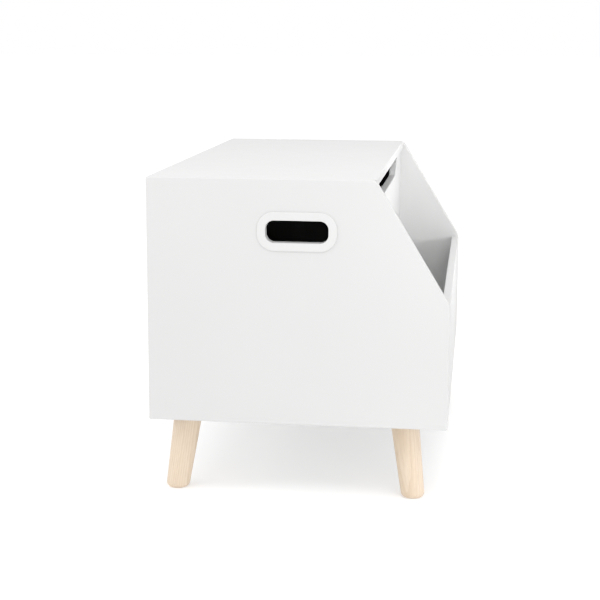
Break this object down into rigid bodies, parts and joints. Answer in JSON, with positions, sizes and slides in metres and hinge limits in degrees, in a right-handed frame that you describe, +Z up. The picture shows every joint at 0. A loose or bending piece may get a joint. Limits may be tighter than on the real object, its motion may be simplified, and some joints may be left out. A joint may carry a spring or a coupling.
{
  "type": "toy box",
  "caption": "Low white toy box on splayed wooden legs: a chest with a hinged lid, finger recess and oval side handles, and an open book bin in front.",
  "frame": {"origin": "centre of the overall footprint, on the floor", "axes": "+Z up, -Y towards the open front (the book bin), +X along the box's width"},
  "size_m": [0.6844, 0.4344, 0.454],
  "materials": {
    "white_lacquer": "white satin lacquer on fibreboard",
    "grip_plastic": "white satin moulded plastic",
    "natural_wood": "clear matt lacquer",
    "dowel_wood": "bare beech",
    "zinc_steel": "zinc plated",
    "nickel_steel": "satin nickel",
    "zinc_casting": "as cast",
    "clear_rubber": "translucent soft",
    "black_acetal": "matt"
  },
  "bodies": {
    "carcass": {"side_panel_left": "white_lacquer", "side_panel_right": "white_lacquer", "back_panel": "white_lacquer", "bottom_panel": "white_lacquer", "chest_front_panel": "white_lacquer", "bin_front_panel": "white_lacquer", "handle_grip_left_outer": "grip_plastic", "handle_grip_left_inner": "grip_plastic", "handle_grip_right_outer": "grip_plastic", "handle_grip_right_inner": "grip_plastic", "leg_front_left": "natural_wood", "leg_plate_front_left": "zinc_steel", "hanger_bolt_front_left": "zinc_steel", "leg_front_right": "natural_wood", "leg_plate_front_right": "zinc_steel", "hanger_bolt_front_right": "zinc_steel", "leg_back_left": "natural_wood", "leg_plate_back_left": "zinc_steel", "hanger_bolt_back_left": "zinc_steel", "leg_back_right": "natural_wood", "leg_plate_back_right": "zinc_steel", "hanger_bolt_back_right": "zinc_steel", "hinge_back_leaf_left": "nickel_steel", "hinge_pin_left": "nickel_steel", "hinge_friction_sleeve_left": "black_acetal", "hinge_back_leaf_right": "nickel_steel", "hinge_pin_right": "nickel_steel", "hinge_friction_sleeve_right": "black_acetal", "cam_locks": "zinc_casting", "cam_bolts": "zinc_steel", "wood_dowels": "dowel_wood", "lid_bumpers": "clear_rubber", "leg_plate_screws": "zinc_steel", "hinge_back_screws": "nickel_steel"},
    "lid": {"lid_panel": "white_lacquer", "hinge_lid_screws": "nickel_steel", "hinge_lid_leaf_left": "nickel_steel", "hinge_lid_leaf_right": "nickel_steel"}
  },
  "joints": [
    {"name": "lid_hinge", "type": "hinge", "parent": "carcass", "child": "lid", "pos_m": [0, 0.2102, 0.435], "axis": [-1, 0, 0], "range_deg": [0, 90]}
  ]
}
